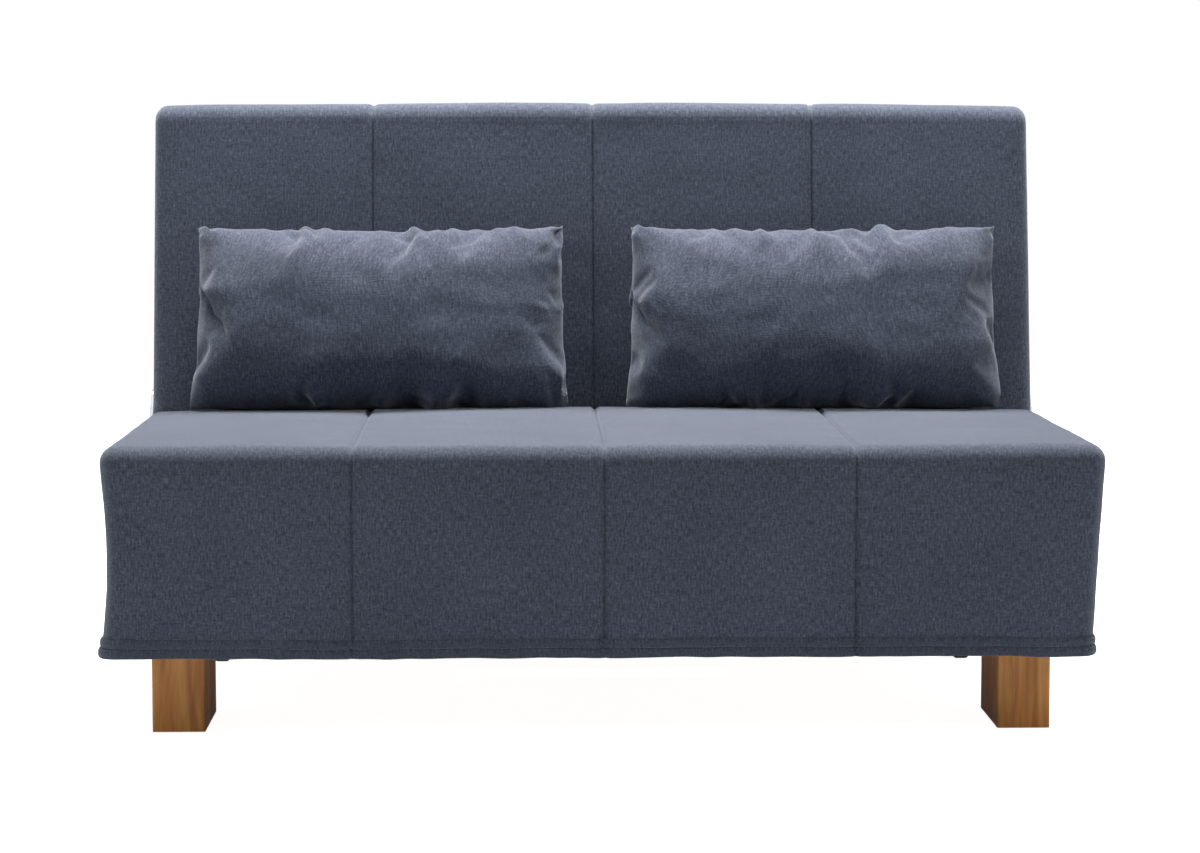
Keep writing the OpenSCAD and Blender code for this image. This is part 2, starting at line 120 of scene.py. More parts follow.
# ---------------------------------------------------------------- meshes
def new_piece(name, co, faces, uv=None, materials=(), face_materials=None):
    """A smooth mesh object from points and faces, with cloth coordinates as UVs."""
    mesh = bpy.data.meshes.new(name)
    mesh.from_pydata([tuple(c) for c in co], [], faces)
    mesh.update()
    if uv is not None:
        layer = mesh.uv_layers.new(name="cloth")
        loops = np.zeros(len(mesh.loops), np.int32)
        mesh.loops.foreach_get("vertex_index", loops)
        layer.data.foreach_set("uv", np.asarray(uv, np.float32)[loops].ravel())
    for material in materials:
        mesh.materials.append(material)
    if face_materials is not None:
        mesh.polygons.foreach_set("material_index", face_materials)
    obj = bpy.data.objects.new(name, mesh)
    bpy.context.scene.collection.objects.link(obj)
    mesh.polygons.foreach_set("use_smooth", [True] * len(mesh.polygons))
    bm = bmesh.new()
    bm.from_mesh(mesh)
    bmesh.ops.recalc_face_normals(bm, faces=bm.faces)
    bm.to_mesh(mesh)
    bm.free()
    return obj


def apply_modifiers(obj):
    """Applies what is on an object, so that its mesh is final."""
    bpy.context.view_layer.update()
    graph = bpy.context.evaluated_depsgraph_get()
    mesh = bpy.data.meshes.new_from_object(obj.evaluated_get(graph))
    obj.modifiers.clear()
    obj.data = mesh
    return obj


def wobble(points, size, seed):
    """Smooth noise, about -1 to 1, at points in metres; size is its wavelength."""
    shift = Vector((seed * 7.31, seed * 3.17, seed * 5.73))
    return np.array([noise.noise(Vector(p) / size + shift) for p in points])


def seam_groove(x):
    """How far the quilting seams pull the cloth in, at distances x across."""
    pull = np.zeros_like(x)
    for seam in SEAMS:
        pull += np.exp(-(((x - seam) / SEAM_WIDTH) ** 2))
    return -SEAM_DEPTH * pull


def near_seams(x):
    """1 on a quilting seam, fading over the few centimetres that pucker beside it."""
    near = np.zeros_like(x)
    for seam in SEAMS:
        near += np.exp(-np.abs(x - seam) / PUCKER_REACH)
    return near


def panel_crown(x, half, power=2.5):
    """1 in the middle of each quilted panel and 0 at its seams and ends."""
    edges = np.array([-half, *SEAMS, half])
    place = np.clip(np.searchsorted(edges, x) - 1, 0, len(edges) - 2)
    middle = (edges[place] + edges[place + 1]) / 2
    wide = (edges[place + 1] - edges[place]) / 2
    return 1 - np.clip(np.abs(x - middle) / wide, 0, 1) ** power


def stations(low, high, step, fine=()):
    """Grid lines from low to high, closer together around the places in fine."""
    lines = set(np.round(np.linspace(low, high, round((high - low) / step) + 1), 5))
    for place in fine:
        for d in (0, 0.0025, 0.005, 0.008, 0.012, 0.017):
            for side in (-d, d):
                if low < place + side < high:
                    lines.add(round(place + side, 5))
    lines = sorted(lines)
    kept = [lines[0]]
    for line in lines[1:]:
        if line - kept[-1] > 0.0014:
            kept.append(line)
    return np.array(kept)


def rounded_profile(corners, step):
    """Points, outward normals and lengths along a closed outline with round corners.

    corners are (a, b, radius), anticlockwise.
    """
    points, normals = [], []
    count = len(corners)
    for i, (a, b, r) in enumerate(corners):
        here = np.array([a, b])
        before = np.array(corners[i - 1][:2])
        after = np.array(corners[(i + 1) % count][:2])
        back = (before - here) / np.linalg.norm(before - here)
        on = (after - here) / np.linalg.norm(after - here)
        centre = here + r * (back + on)
        for t in np.linspace(0, math.pi / 2, 9):
            n = -on * math.cos(t) - back * math.sin(t)
            points.append(centre + r * n)
            normals.append(n)
        end = centre - r * back
        r_next = corners[(i + 1) % count][2]
        run = np.linalg.norm(after - on * r_next - end)
        parts = max(2, round(run / step))
        for k in range(1, parts):
            points.append(end + on * run * k / parts)
            normals.append(-back)
    points = np.array(points)
    hop = np.linalg.norm(np.roll(points, -1, 0) - points, axis=1)
    return points, np.array(normals), np.concatenate([[0], np.cumsum(hop)[:-1]])


def cell(i, j):
    """The four corners of a grid cell, in order round it."""
    return (i, j), (i + 1, j), (i + 1, j + 1), (i, j + 1)


def ring_quads(first, second, count):
    """Quads between two rings of count points, which start at first and second."""
    quads = []
    for k in range(count):
        m = (k + 1) % count
        quads.append((first + k, first + m, second + m, second + k))
    return quads


def tube_along(name, path, radii, sides, material, squash=(1.0, 1.0)):
    """A closed-ended tube along a path of points; squash is its width and height."""
    path = np.asarray(path, float)
    ahead = np.gradient(path, axis=0)
    ahead /= np.linalg.norm(ahead, axis=1)[:, None]
    up = np.tile([0.0, 0.0, 1.0], (len(path), 1))
    side = np.cross(ahead, up)
    side /= np.linalg.norm(side, axis=1)[:, None]
    up = np.cross(side, ahead)
    radii = np.broadcast_to(radii, len(path))
    co, uv = [], []
    hop = np.linalg.norm(np.diff(path, axis=0), axis=1)
    run = np.concatenate([[0], np.cumsum(hop)])
    for i in range(len(path)):
        for k in range(sides):
            t = 2 * math.pi * k / sides
            co.append(
                path[i]
                + side[i] * math.cos(t) * radii[i] * squash[0]
                + up[i] * math.sin(t) * radii[i] * squash[1]
            )
            uv.append((run[i], t * radii[i]))
    faces = []
    for i in range(len(path) - 1):
        faces += ring_quads(i * sides, (i + 1) * sides, sides)
    faces.append(tuple(range(sides)))
    last = (len(path) - 1) * sides
    faces.append(tuple(last + k for k in reversed(range(sides))))
    return new_piece(name, co, faces, uv, [material])


# ---------------------------------------------------------------- materials
class Nodes:
    """Short names for building a material's nodes."""

    def __init__(self, name):
        self.material = bpy.data.materials.new(name)
        self.material.use_nodes = True
        self.tree = self.material.node_tree
        self.shader = self.tree.nodes["Principled BSDF"]

    def add(self, kind, **settings):
        node = self.tree.nodes.new(kind)
        for key, value in settings.items():
            setattr(node, key, value)
        return node

    def link(self, source, target):
        self.tree.links.new(source, target)

    def set(self, **values):
        for key, value in values.items():
            socket = self.shader.inputs[key.replace("_", " ")]
            socket.default_value = (*value, 1.0) if isinstance(value, tuple) else value

    def coordinates(self, stretch, uv=None):
        """Object or cloth coordinates, in metres, scaled by stretch."""
        mapping = self.add("ShaderNodeMapping")
        mapping.inputs["Scale"].default_value = stretch
        if uv:
            source = self.add("ShaderNodeUVMap", uv_map=uv).outputs[0]
        else:
            source = self.add("ShaderNodeTexCoord").outputs["Object"]
        self.link(source, mapping.inputs[0])
        return mapping.outputs[0]

    def noise(self, stretch, detail=3.0, roughness=0.5, uv=None, distortion=0.0):
        node = self.add("ShaderNodeTexNoise")
        node.inputs["Scale"].default_value = 1.0
        node.inputs["Detail"].default_value = detail
        node.inputs["Roughness"].default_value = roughness
        node.inputs["Distortion"].default_value = distortion
        self.link(self.coordinates(stretch, uv), node.inputs["Vector"])
        return node.outputs[0]

    def ramp(self, value, stops):
        """A colour ramp; stops are (place, colour)."""
        node = self.add("ShaderNodeValToRGB")
        elements = node.color_ramp.elements
        while len(elements) < len(stops):
            elements.new(0.5)
        for element, (place, colour) in zip(elements, stops):
            element.position = place
            element.color = (*colour, 1.0)
        self.link(value, node.inputs[0])
        return node.outputs[0]

    def math(self, operation, a, b):
        node = self.add("ShaderNodeMath", operation=operation)
        for socket, value in zip(node.inputs, (a, b)):
            if isinstance(value, (int, float)):
                socket.default_value = value
            else:
                self.link(value, socket)
        return node.outputs[0]

    def mix(self, amount, a, b, blend):
        node = self.add("ShaderNodeMix", data_type="RGBA", blend_type=blend)
        for place, value in ((0, amount), (6, a), (7, b)):
            socket = node.inputs[place]
            if isinstance(value, tuple):
                socket.default_value = (*value, 1.0)
            elif isinstance(value, (int, float)):
                socket.default_value = value
            else:
                self.link(value, socket)
        return node.outputs[2]

    def bump(self, height, strength, distance, under=None):
        node = self.add("ShaderNodeBump")
        node.inputs["Strength"].default_value = strength
        node.inputs["Distance"].default_value = distance
        self.link(height, node.inputs["Height"])
        if under is not None:
            self.link(under, node.inputs["Normal"])
        return node.outputs[0]

    def finish(self, colour=None, roughness=None, normal=None):
        sources = {"Base Color": colour, "Roughness": roughness, "Normal": normal}
        for name, value in sources.items():
            if value is not None:
                self.link(value, self.shader.inputs[name])
        return self.material


def fabric(name, dark, middle, light, weave=0.003):
    """Flecked plain-weave cloth, on UVs in metres."""
    n = Nodes(name)
    warp = n.noise((380, 95, 1), 3.0, 0.6, "cloth")
    weft = n.noise((100, 400, 1), 3.0, 0.6, "cloth")
    fleck = n.noise((330, 300, 1), 2.0, 0.5, "cloth")
    wear = n.noise((7, 7, 7), 3.0, 0.5)
    mixed = n.math("ADD", n.math("MULTIPLY", warp, 0.5), n.math("MULTIPLY", weft, 0.25))
    mixed = n.math("ADD", mixed, n.math("MULTIPLY", fleck, 0.25))
    colour = n.ramp(mixed, [(0.40, dark), (0.5, middle), (0.62, light)])
    shade = n.ramp(wear, [(0.3, (0.86, 0.86, 0.88)), (0.7, (1.0, 1.0, 1.0))])
    colour = n.mix(1.0, colour, shade, "MULTIPLY")
    waves = []
    for stretch in ((1 / weave, 0, 0), (0, 1 / weave, 0)):
        wave = n.add("ShaderNodeTexWave", wave_type="BANDS", bands_direction="DIAGONAL")
        wave.inputs["Scale"].default_value = 1.0
        wave.inputs["Distortion"].default_value = 0.6
        n.link(n.coordinates(stretch, "cloth"), wave.inputs["Vector"])
        waves.append(wave.outputs["Fac"])
    height = n.math("ADD", n.math("MULTIPLY", waves[0], waves[1]), mixed)
    normal = n.bump(height, 0.55, 0.0009)
    n.set(Roughness=0.92, Sheen_Weight=0.55, Sheen_Roughness=0.38)
    n.set(Specular_IOR_Level=0.2, Sheen_Tint=(0.92, 0.95, 1.0))
    return n.finish(colour, None, normal)


def wood(name, tones, stretch, roughness, coat=0.0):
    """Planed wood: stretch is the grain's scale along each axis."""
    n = Nodes(name)
    rings = n.noise(stretch, 4.0, 0.55, distortion=1.2)
    fine = n.noise(tuple(6 * s for s in stretch), 5.0, 0.7)
    grain = n.math("ADD", n.math("MULTIPLY", rings, 0.7), n.math("MULTIPLY", fine, 0.3))
    colour = n.ramp(grain, [(0.36, tones[0]), (0.5, tones[1]), (0.62, tones[2])])
    pores = n.noise(tuple(14 * s for s in stretch), 2.0, 0.5)
    normal = n.bump(n.math("ADD", pores, grain), 0.25, 0.0006)
    n.set(Coat_Weight=coat, Coat_Roughness=0.35)
    rough = n.math("ADD", n.math("MULTIPLY", fine, 0.2), roughness - 0.1)
    return n.finish(colour, rough, normal)


def metal(name, colour, roughness, metallic=1.0, brushed=(300, 300, 40)):
    """Plate or coated steel, with faint brushing or orange peel."""
    n = Nodes(name)
    streak = n.noise(brushed, 3.0, 0.6)
    blotch = n.noise((18, 18, 18), 3.0, 0.5)
    tone = tuple(c * 0.82 for c in colour)
    both = n.math("MULTIPLY", n.math("ADD", streak, blotch), 0.5)
    shaded = n.ramp(both, [(0.35, tone), (0.6, colour)])
    rough = n.math("ADD", n.math("MULTIPLY", streak, 0.25), roughness - 0.12)
    n.set(Metallic=metallic)
    return n.finish(shaded, rough, n.bump(streak, 0.12, 0.0003))


def soft(name, dark, light, grain, depth, roughness=0.95, sheen=0.0):
    """Foam, felt, rubber or moulded plastic: a fine even grain."""
    n = Nodes(name)
    cells = n.noise((grain, grain, grain), 3.0, 0.6)
    blotch = n.noise((12, 12, 12), 2.0, 0.5)
    cell_share = n.math("MULTIPLY", cells, 0.6)
    both = n.math("ADD", cell_share, n.math("MULTIPLY", blotch, 0.4))
    colour = n.ramp(both, [(0.35, dark), (0.65, light)])
    n.set(Roughness=roughness, Sheen_Weight=sheen)
    return n.finish(colour, None, n.bump(cells, 0.4, depth))


CLOTH_TONES = ((0.040, 0.049, 0.072), (0.066, 0.078, 0.110), (0.115, 0.130, 0.170))
MATERIALS = {
    "upholstery_fabric": fabric("upholstery_fabric", *CLOTH_TONES),
    "pillow_fabric": fabric("pillow_fabric", *CLOTH_TONES),
    "hem_cord": fabric(
        "hem_cord",
        *[tuple(0.9 * c for c in tone) for tone in CLOTH_TONES],
        weave=0.0024,
    ),
    "stained_wood": wood(
        "stained_wood",
        ((0.540, 0.195, 0.040), (0.740, 0.305, 0.072), (0.860, 0.410, 0.115)),
        (38, 38, 2.6),
        0.5,
        coat=0.15,
    ),
    "pine_board": wood(
        "pine_board",
        ((0.50, 0.33, 0.17), (0.62, 0.45, 0.26), (0.70, 0.54, 0.34)),
        (2.2, 20, 20),
        0.6,
    ),
    "birch_slat": wood(
        "birch_slat",
        ((0.60, 0.44, 0.27), (0.69, 0.54, 0.36), (0.75, 0.61, 0.43)),
        (3.0, 60, 60),
        0.45,
        coat=0.3,
    ),
    "black_plastic": soft(
        "black_plastic", (0.018,) * 3, (0.035,) * 3, 900, 0.0002, 0.5
    ),
    "foam": soft("foam", (0.62, 0.56, 0.38), (0.78, 0.72, 0.52), 700, 0.0012),
    "pillow_filling": soft(
        "pillow_filling", (0.7, 0.7, 0.69), (0.88, 0.88, 0.87), 300, 0.002
    ),
    "felt": soft("felt", (0.14, 0.13, 0.12), (0.27, 0.25, 0.23), 800, 0.0009, 1.0, 0.4),
    "zinc_steel": metal("zinc_steel", (0.60, 0.61, 0.63), 0.35),
    "hinge_steel": metal("hinge_steel", (0.50, 0.51, 0.53), 0.42),
    "black_steel": metal(
        "black_steel", (0.030, 0.030, 0.034), 0.5, 0.0, (500, 500, 500)
    ),
    "castor_rubber": soft(
        "castor_rubber", (0.030,) * 3, (0.055,) * 3, 500, 0.0003, 0.7
    ),
}
DUST_CLOTH = soft("dust_cloth", (0.020,) * 3, (0.038,) * 3, 1200, 0.0006, 0.95, 0.2)

for row in frame["record"]["subparts"]:
    node = frame["nodes"][row["node"]]
    node.data.materials.clear()
    node.data.materials.append(MATERIALS[row["material_slot"]])


# ---------------------------------------------------------------- seat
SEAT_R = 0.024  # rounding of the cover's edges
COVER_T = 0.0025
REAR_FLAP_Z = 0.300  # lower edge of the flap behind the seat


def rounded_axis(low, high, step, fine=(), open_low=False):
    """Grid lines that space evenly round the edges of radius SEAT_R at the ends.

    open_low leaves the low end square, as at the skirt's lower edge.
    """
    turns = [SEAT_R * (1 - math.tan(math.radians(t))) for t in (45, 38, 30, 22, 15, 7)]
    start = low if open_low else low + SEAT_R
    lines = list(stations(start, high - SEAT_R, step, fine))
    if not open_low:
        lines = [low + t for t in turns] + lines
    return np.array(lines + [high - t for t in reversed(turns)])


def seat_shape(points):
    """Takes points on the seat's box to the rounded, quilted and hanging cover."""
    points = np.asarray(points, float)
    low = np.array([-HALF_W + SEAT_R, SEAT_LO.y + SEAT_R, -1.0])
    high = np.array([HALF_W - SEAT_R, SEAT_HI.y - SEAT_R, SEAT_H - SEAT_R])
    core = np.clip(points, low, high)
    out = points - core
    out /= np.maximum(np.linalg.norm(out, axis=1), 1e-9)[:, None]
    round_co = core + SEAT_R * out
    x, y, z = round_co.T
    top = np.clip(out[:, 2], 0, 1) ** 2
    front = np.clip(-out[:, 1], 0, 1) ** 2
    depth = np.clip((y - SEAT_LO.y) / (SEAT_HI.y - SEAT_LO.y), 0, 1)
    rise = np.clip((z - SEAT_LO.z) / (SEAT_H - SEAT_LO.z), 0, 1)
    crown = panel_crown(x, HALF_W)
    whole = 1 - (x / HALF_W) ** 2
    # the panels' crowns, then the seams, then the cloth's unevenness
    swell = top * (0.005 * crown * np.sin(math.pi * np.clip(depth * 1.1, 0, 1)) ** 0.5)
    swell += top * 0.008 * whole * depth**1.5
    swell += front * 0.004 * crown * np.sin(math.pi * rise) ** 0.6
    swell += (top + front) * seam_groove(x)
    near = near_seams(x)
    pucker = wobble(np.stack([x * 0.6, y, z], 1), 0.028, 3)
    swell += (top + front) * 0.0011 * near * pucker
    swell += 0.0016 * wobble(round_co, 0.16, 5)
    swell += 0.0007 * wobble(round_co, 0.045, 9)
    # the skirt hangs in slight waves, and its lower corners flare
    hang = np.exp(-(z - SEAT_LO.z) / 0.045) * (1 - top)
    swell += hang * 0.0028 * wobble(np.stack([x, y, z * 0.2], 1), 0.11, 11)
    from_corner = np.hypot(HALF_W - np.abs(x), y - SEAT_LO.y)
    flare = np.exp(-(z - HEM_LO.z) / 0.014) * np.exp(-((from_corner / 0.035) ** 2))
    swell += 0.005 * flare
    moved = round_co + out * swell[:, None]
    # the left side draws in halfway up, and the right side towards its hem
    left_pull = 0.009 * np.sin(math.pi * np.clip((0.42 - z) / 0.32, 0, 1)) ** 1.2
    right_pull = 0.015 * np.clip((0.40 - z) / 0.26, 0, 1)
    end = np.clip(np.abs(x) / HALF_W, 0, 1) ** 8
    moved[:, 0] += np.where(x < 0, left_pull, -right_pull) * end
    return moved, out


def seat_cover():
    """The slipcover over the seat: five grids that share their edges."""
    xs = rounded_axis(-HALF_W, HALF_W, 0.011, SEAMS)
    ys = rounded_axis(SEAT_LO.y, SEAT_HI.y, 0.012)
    zs = rounded_axis(SEAT_LO.z, SEAT_H, 0.011, open_low=True)
    index, box_co, uv = {}, [], []

    def vertex(i, j, k):
        key = (i, j, k)
        if key not in index:
            x, y, z = xs[i], ys[j], zs[k]
            index[key] = len(box_co)
            box_co.append((x, y, z))
            if k == len(zs) - 1:
                uv.append((x, SEAT_H + y - SEAT_LO.y))
            elif j == 0:
                uv.append((x, z))
            elif j == len(ys) - 1:
                uv.append((x, SEAT_H + SEAT_HI.y - SEAT_LO.y + SEAT_H - z))
            else:
                side = -1 if i == 0 else 1
                uv.append((side * (HALF_W + y - SEAT_LO.y), z))
        return index[key]

    faces = []
    ni, nj, nk = len(xs) - 1, len(ys) - 1, len(zs) - 1
    for i in range(ni):
        for k in range(nk):
            for j in (0, nj):
                if j == 0 or zs[k] >= REAR_FLAP_Z:
                    faces.append([vertex(a, j, b) for a, b in cell(i, k)])
        for j in range(nj):
            faces.append([vertex(a, b, nk) for a, b in cell(i, j)])
    for j in range(nj):
        for k in range(nk):
            for i in (0, ni):
                faces.append([vertex(i, a, b) for a, b in cell(j, k)])
    co, _ = seat_shape(box_co)
    cover = new_piece("seat_slipcover", co, faces, uv, [MATERIALS["upholstery_fabric"]])
    thick = cover.modifiers.new("cloth", "SOLIDIFY")
    thick.thickness = COVER_T
    thick.offset = -1
    apply_modifiers(cover)
    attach(cover, "seat_unit")
    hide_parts("seat_cover")
    return cover


def foam_block(name, corners, half, node, seed):
    """Cut foam under the cover: rings of a round-cornered outline along the width."""
    edge = 0.012
    outline, normals, _ = rounded_profile(corners, 0.03)
    turns = [math.radians(t) for t in (90, 60, 35, 15)]
    ends = [(-half + edge * (1 - math.sin(t)), edge * (1 - math.cos(t))) for t in turns]
    rings = ends + [(x, 0.0) for x in np.linspace(-half + edge, half - edge, 49)]
    rings += [(-x, inset) for x, inset in reversed(ends)]
    count, co = len(outline), []
    for x, inset in rings:
        spots = np.stack([np.full(count, x), outline[:, 0], outline[:, 1]], 1)
        swell = 0.0012 * wobble(spots, 0.07, seed) - inset
        co += [(x, a, b) for a, b in outline + normals * swell[:, None]]
    faces = []
    for i in range(len(rings) - 1):
        faces += ring_quads(i * count, (i + 1) * count, count)
    last = (len(rings) - 1) * count
    faces += [tuple(range(count)), tuple(last + k for k in reversed(range(count)))]
    block = new_piece(name, co, faces, None, [MATERIALS["foam"]])
    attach(block, "seat_unit")
    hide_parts(node)


def seat_foam():
    """The seat's foam and the pad in front of its board, inside the slipcover."""
    inset = 0.010
    front, rear = SEAT_LO.y + inset, SEAT_HI.y - inset
    foam_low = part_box("seat_foam")[0].z
    top = SEAT_H - inset
    block = [
        (front, foam_low, 0.005),
        (rear, foam_low, 0.005),
        (rear, top, 0.016),
        (front, top, 0.020),
    ]
    foam_block("seat_foam_block", block, HALF_W - 0.014, "seat_foam", 71)
    pad_low, pad_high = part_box("seat_front_pad")
    low, high, rear = pad_low.z, pad_high.z - 0.001, pad_high.y
    pad = [
        (front, low, 0.006),
        (rear, low, 0.003),
        (rear, high, 0.003),
        (front, high, 0.006),
    ]
    foam_block("seat_front_foam", pad, HALF_W - 0.022, "seat_front_pad", 73)


def skirt_path(z, out, step=0.006):
    """Points just outside the skirt at height z, from left rear round to right rear."""
    corner = 0.06
    front, rear = SEAT_LO.y + corner, SEAT_HI.y - SEAT_R
    path = [(-HALF_W, y, z) for y in np.arange(rear, front, -step)]
    for x0, start in ((-1, math.pi), (1, 1.5 * math.pi)):
        centre = np.array([x0 * (HALF_W - SEAT_R), SEAT_LO.y + SEAT_R])
        if x0 > 0:
            across = np.arange(-HALF_W + corner, HALF_W - corner, step)
            path += [(x, SEAT_LO.y, z) for x in across]
        for t in np.linspace(start, start + math.pi / 2, 14):
            d = np.array([math.cos(t), math.sin(t)])
            spot = centre + d * SEAT_R / max(abs(d))
            path.append((spot[0], spot[1], z))
    path += [(HALF_W, y, z) for y in np.arange(front, rear, step)]
    co, normal = seat_shape(path)
    flat = normal * np.array([1, 1, 0])
    flat /= np.linalg.norm(flat, axis=1)[:, None]
    return co + flat * out


def hem():
    """The folded hem band: two flat rolls of cloth, one above the other."""
    for i, (rise, r) in enumerate(((0.0205, 0.0066), (0.0070, 0.0070))):
        path = skirt_path(HEM_LO.z + rise, 0.0002)
        path[:, 2] += 0.0026 * wobble(path, 0.24, 21) + 0.0011 * wobble(path, 0.05, 23)
        radii = r * (1 + 0.07 * wobble(path, 0.03, 25 + i))
        roll = tube_along(
            f"hem_roll_{i + 1}", path, radii, 16, MATERIALS["hem_cord"], (0.5, 1.06)
        )
        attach(roll, "seat_unit")
        if i:
            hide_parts("seat_hem")


# ---------------------------------------------------------------- back sections
def section_cushion(place, seed, body):
    """A quilted back cushion: rings of a round-cornered outline along the width."""
    side_r = 0.020
    corners = [
        (LOW_END, -CUSHION_T, 0.020),
        (BACK_LEN, -CUSHION_T, 0.020),
        (BACK_LEN, 0.0, 0.030),
        (LOW_END, 0.0, 0.040),
    ]
    outline, normals, length = rounded_profile(corners, 0.011)
    turns = [math.radians(t) for t in (90, 78, 66, 54, 42, 30, 18, 8)]
    ends = [
        (-SECTION_HALF + side_r * (1 - math.sin(t)), side_r * (1 - math.cos(t)))
        for t in turns
    ]
    middle = stations(-SECTION_HALF + side_r, SECTION_HALF - side_r, 0.011, SEAMS)
    rings = ends + [(x, 0.0) for x in middle]
    rings += [(-x, inset) for x, inset in reversed(ends)]
    count = len(outline)
    face_w = np.clip((normals[:, 1] + 0.35) / 0.7, 0, 1)
    end_w = np.clip(normals[:, 0], 0, 1)
    co, uv = [], []
    up = (outline[:, 0] - LOW_END) / (BACK_LEN - LOW_END)
    for x, inset in rings:
        here = np.full(count, x)
        crown = panel_crown(here, SECTION_HALF)
        whole = 1 - (x / SECTION_HALF) ** 2
        rise = np.sin(math.pi * np.clip(up, 0, 1)) ** 0.6
        place3 = np.stack([here, outline[:, 0], outline[:, 1]], 1)
        swell = face_w * (0.0050 * crown * rise + seam_groove(here))
        swell += face_w * 0.0011 * near_seams(here) * wobble(place3, 0.028, seed)
        waves = 0.0016 * wobble(place3, 0.17, seed + 1)
        waves += 0.0007 * wobble(place3, 0.05, seed + 2)
        swell += face_w * waves
        swell += end_w * (0.001 + 0.005 * whole + 0.001 * crown)
        ring = outline + normals * (swell - inset)[:, None]
        for (a, b), run in zip(ring, length):
            co.append((x, a, b))
            uv.append((x, -run))
    faces, mats = [], []
    below = normals[:, 1] < -0.9
    for i in range(len(rings) - 1):
        faces += ring_quads(i * count, (i + 1) * count, count)
        mats += [int(a and b) for a, b in zip(below, np.roll(below, -1))]
    centre = outline.mean(0)
    for base, side in ((0, -1), ((len(rings) - 1) * count, 1)):
        last = base
        for shrink in (0.86, 0.66, 0.4, 0.15):
            start = len(co)
            for k in range(count):
                a, b = centre + (np.array(co[base + k][1:]) - centre) * shrink
                bulge = 0.0015 * (1 - shrink**2)
                co.append((side * (SECTION_HALF + bulge), a, b))
                uv.append((side * (SECTION_HALF + 0.05 * (1 - shrink) - b), a))
            faces += ring_quads(last, start, count)
            last = start
        faces.append(tuple(last + k for k in range(count)))
        mats += [0] * (4 * count + 1)
    cloths = [MATERIALS["upholstery_fabric"], DUST_CLOTH]
    cushion = new_piece(f"{body}_cushion", place(co), faces, uv, cloths, mats)
    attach(cushion, body)
    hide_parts(f"{body}_cover", f"{body}_foam")


# ---------------------------------------------------------------- pillows
PILLOW_H = 0.283
CUT_WIDER, CUT_TALLER = 1.035, 1.10  # the cloth is cut larger, as filling draws it in
INFLATE_FRAMES = 30
BELLY_FRONT, BELLY_REAR = 0.089, 0.052
PILLOW_FOOT, PILLOW_OUT = -0.004, 0.040  # foot along the back, seam out from it


def pillow_form(cols, rows, width, height, belly, rear):
    """A closed pillow of two sheets that share their edge, in (x, along, out)."""
    us, vs = np.linspace(-1, 1, cols + 1), np.linspace(-1, 1, rows + 1)
    co, uv, index = [], [], {}

    def vertex(i, j, side):
        edge = i in (0, cols) or j in (0, rows)
        key = (i, j, 0 if edge else side)
        if key not in index:
            u, v = us[i], vs[j]
            lift = ((1 - u**4) * (1 - v**2)) ** 0.6
            index[key] = len(co)
            out = lift * (belly if side > 0 else -rear)
            co.append((u * width / 2, v * height / 2, out))
            uv.append((u * width / 2, v * height / 2))
        return index[key]

    faces = []
    for side in (1, -1):
        for i in range(cols):
            for j in range(rows):
                quad = [vertex(a, b, side) for a, b in cell(i, j)]
                faces.append(quad if side > 0 else quad[::-1])
    return co, uv, faces


def inflate(obj):
    """Blows the cloth up by its inner pressure and keeps the result."""
    cloth = obj.modifiers.new("cloth", "CLOTH")
    settings = cloth.settings
    settings.use_pressure = True
    settings.uniform_pressure_force = 4.5
    settings.quality = 6
    settings.mass = 0.25
    settings.tension_stiffness = 30
    settings.compression_stiffness = 12
    settings.bending_stiffness = 0.35
    settings.air_damping = 4
    settings.effector_weights.gravity = 0
    cloth.collision_settings.use_collision = False
    cloth.point_cache.frame_start = 1
    cloth.point_cache.frame_end = INFLATE_FRAMES
    for step in range(1, INFLATE_FRAMES + 1):
        bpy.context.scene.frame_set(step)
    apply_modifiers(obj)
    bpy.context.scene.frame_set(1)


def square_up(points, grid, low, high, axis):
    """Moves each row of the cloth grid so that its two ends lie at low and high."""
    across = 1 - axis
    ends = [np.isclose(grid[:, axis], side) for side in (-1.0, 1.0)]
    now = []
    for end in ends:
        order = np.argsort(grid[end, across])
        along, place = grid[end, across][order], points[end, axis][order]
        now.append(np.interp(grid[:, across], along, place))
    share = (points[:, axis] - now[0]) / (now[1] - now[0])
    points[:, axis] = low + share * (high - low)


def press(values, limit, give):
    """Keeps values above limit, flattening them smoothly over a depth of give."""
    start = limit + give
    pressed = start - give * np.tanh((start - values) / give)
    return np.where(values < start, pressed, values)


